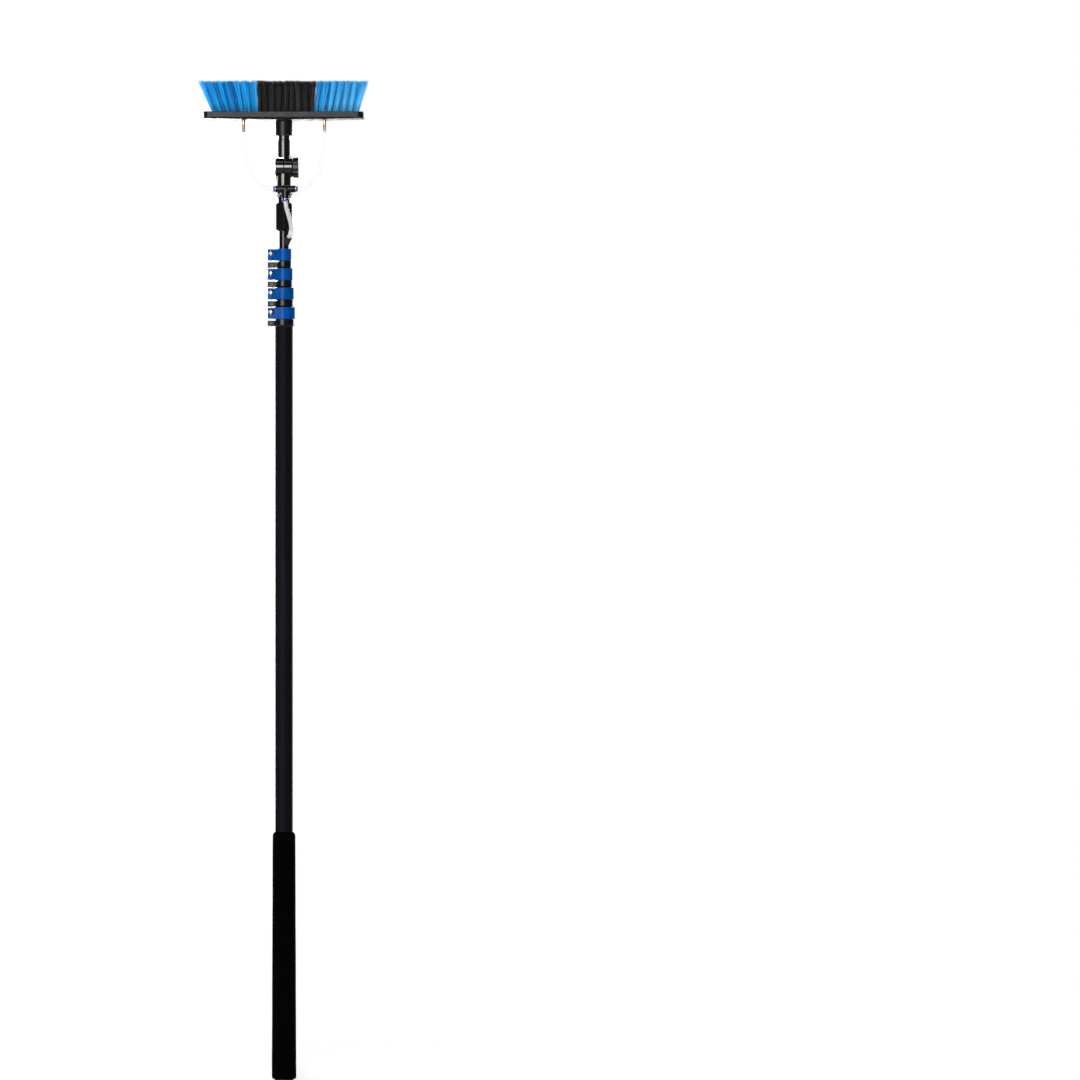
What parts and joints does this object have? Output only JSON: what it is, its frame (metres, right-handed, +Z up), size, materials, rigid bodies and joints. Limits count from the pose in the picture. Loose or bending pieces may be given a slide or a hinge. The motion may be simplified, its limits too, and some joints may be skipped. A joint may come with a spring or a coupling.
{
  "type": "window cleaning pole system",
  "caption": "Telescopic water-fed pole with flip clamps, foam grip, tilting angle joint, push-fit tee and a long bristle brush with rinse jets.",
  "frame": {"origin": "centre of the butt cap's underside, which is also the end of the feed hose's stem", "axes": "+Z up the pole, +X towards the angle joint's knob, -Y is the front, where the tee and the clamp levers are"},
  "size_m": [0.315, 0.062, 1.8795],
  "materials": {
    "tube": "satin black anodised",
    "black_plastic": "satin, moulded",
    "joint_plastic": "glossy, moulded",
    "stock_plastic": "satin with a fine grain",
    "grip_foam": "matte foam",
    "cap_rubber": "matte",
    "lever_blue": "satin, moulded",
    "bristle_blue": "filament",
    "bristle_black": "filament",
    "collar_blue": "moulded",
    "steel": "bright",
    "brass": "turned",
    "seal_rubber": "smooth",
    "nylon": "natural",
    "clear_tube": "clear, flexible"
  },
  "bodies": {
    "base": {"base_tube": "tube", "butt_cap": "cap_rubber", "hand_grip": "grip_foam", "clamp_body_1": "black_plastic", "lever_pin_1": "steel", "tension_bolt_1": "steel", "pinch_screw_1": "steel"},
    "lever_1": {"clamp_lever_1": "lever_blue"},
    "section_2": {"section_tube_2": "tube", "guide_plug_2": "black_plastic", "clamp_body_2": "black_plastic", "lever_pin_2": "steel", "tension_bolt_2": "steel", "pinch_screw_2": "steel"},
    "lever_2": {"clamp_lever_2": "lever_blue"},
    "section_3": {"section_tube_3": "tube", "guide_plug_3": "black_plastic", "clamp_body_3": "black_plastic", "lever_pin_3": "steel", "tension_bolt_3": "steel", "pinch_screw_3": "steel"},
    "lever_3": {"clamp_lever_3": "lever_blue"},
    "section_4": {"section_tube_4": "tube", "guide_plug_4": "black_plastic", "clamp_body_4": "black_plastic", "lever_pin_4": "steel", "tension_bolt_4": "steel", "pinch_screw_4": "steel"},
    "lever_4": {"clamp_lever_4": "lever_blue"},
    "tip": {"tip_tube": "tube", "guide_plug_tip": "black_plastic", "hose_grommet": "cap_rubber", "hex_sleeve": "black_plastic", "lower_arm": "joint_plastic", "friction_disc": "seal_rubber", "joint_bolt": "steel", "bolt_cover": "joint_plastic", "tee_body": "black_plastic", "tee_rings": "brass", "tee_grab_rings": "steel", "tee_seals": "seal_rubber", "cable_tie": "nylon", "jet_tube_left": "clear_tube", "jet_tube_right": "clear_tube", "feed_hose": "clear_tube", "hose_stem": "black_plastic"},
    "head": {"upper_arm": "joint_plastic", "brush_stock": "stock_plastic", "bristles_left": "bristle_blue", "bristles_middle": "bristle_black", "bristles_right": "bristle_blue", "jet_barbs": "brass", "jet_nozzles": "brass"},
    "knob_washer": {"knob_washer": "steel"},
    "knob": {"knob": "joint_plastic", "knob_insert": "brass"},
    "collar_left": {"collar_left": "collar_blue"},
    "collar_right": {"collar_right": "collar_blue"},
    "collar_feed": {"collar_feed": "collar_blue"}
  },
  "joints": [
    {"name": "section_2_slide", "type": "slide", "parent": "base", "child": "section_2", "axis": [0, 0, 1], "range_m": [0, 1.25]},
    {"name": "section_3_slide", "type": "slide", "parent": "section_2", "child": "section_3", "axis": [0, 0, 1], "range_m": [0, 1.25]},
    {"name": "section_4_slide", "type": "slide", "parent": "section_3", "child": "section_4", "axis": [0, 0, 1], "range_m": [0, 1.25]},
    {"name": "tip_slide", "type": "slide", "parent": "section_4", "child": "tip", "axis": [0, 0, 1], "range_m": [0, 1.25]},
    {"name": "lever_1_flip", "type": "hinge", "parent": "base", "child": "lever_1", "pos_m": [-0.0243, -0.0121, 1.4421], "axis": [0, 0, -1], "range_deg": [0, 110]},
    {"name": "lever_2_flip", "type": "hinge", "parent": "section_2", "child": "lever_2", "pos_m": [-0.0243, -0.0121, 1.4786], "axis": [0, 0, -1], "range_deg": [0, 110]},
    {"name": "lever_3_flip", "type": "hinge", "parent": "section_3", "child": "lever_3", "pos_m": [-0.0243, -0.0121, 1.5151], "axis": [0, 0, -1], "range_deg": [0, 110]},
    {"name": "lever_4_flip", "type": "hinge", "parent": "section_4", "child": "lever_4", "pos_m": [-0.0243, -0.0121, 1.5516], "axis": [0, 0, -1], "range_deg": [0, 110]},
    {"name": "head_tilt", "type": "hinge", "parent": "tip", "child": "head", "pos_m": [0, 0, 1.716], "axis": [1, 0, 0], "range_deg": [-85, 85], "deforming": ["jet_tube_left", "jet_tube_right"]},
    {"name": "washer_travel", "type": "slide", "parent": "tip", "child": "knob_washer", "axis": [1, 0, 0], "range_m": [0, 0.0025]},
    {"name": "knob_turn", "type": "hinge", "parent": "knob_washer", "child": "knob", "pos_m": [0.022, 0, 1.716], "axis": [1, 0, 0], "range_deg": [0, 730]},
    {"name": "collar_left_press", "type": "slide", "parent": "tip", "child": "collar_left", "axis": [1, 0, 0], "range_m": [0, 0.001], "stiffness_N_per_m": 500},
    {"name": "collar_right_press", "type": "slide", "parent": "tip", "child": "collar_right", "axis": [-1, 0, 0], "range_m": [0, 0.001], "stiffness_N_per_m": 500},
    {"name": "collar_feed_press", "type": "slide", "parent": "tip", "child": "collar_feed", "axis": [0, 0, 1], "range_m": [0, 0.001], "stiffness_N_per_m": 500}
  ],
  "couplings": [
    {"joint": "knob_turn", "follows": "washer_travel", "rad_per_m": 5026.5}
  ]
}
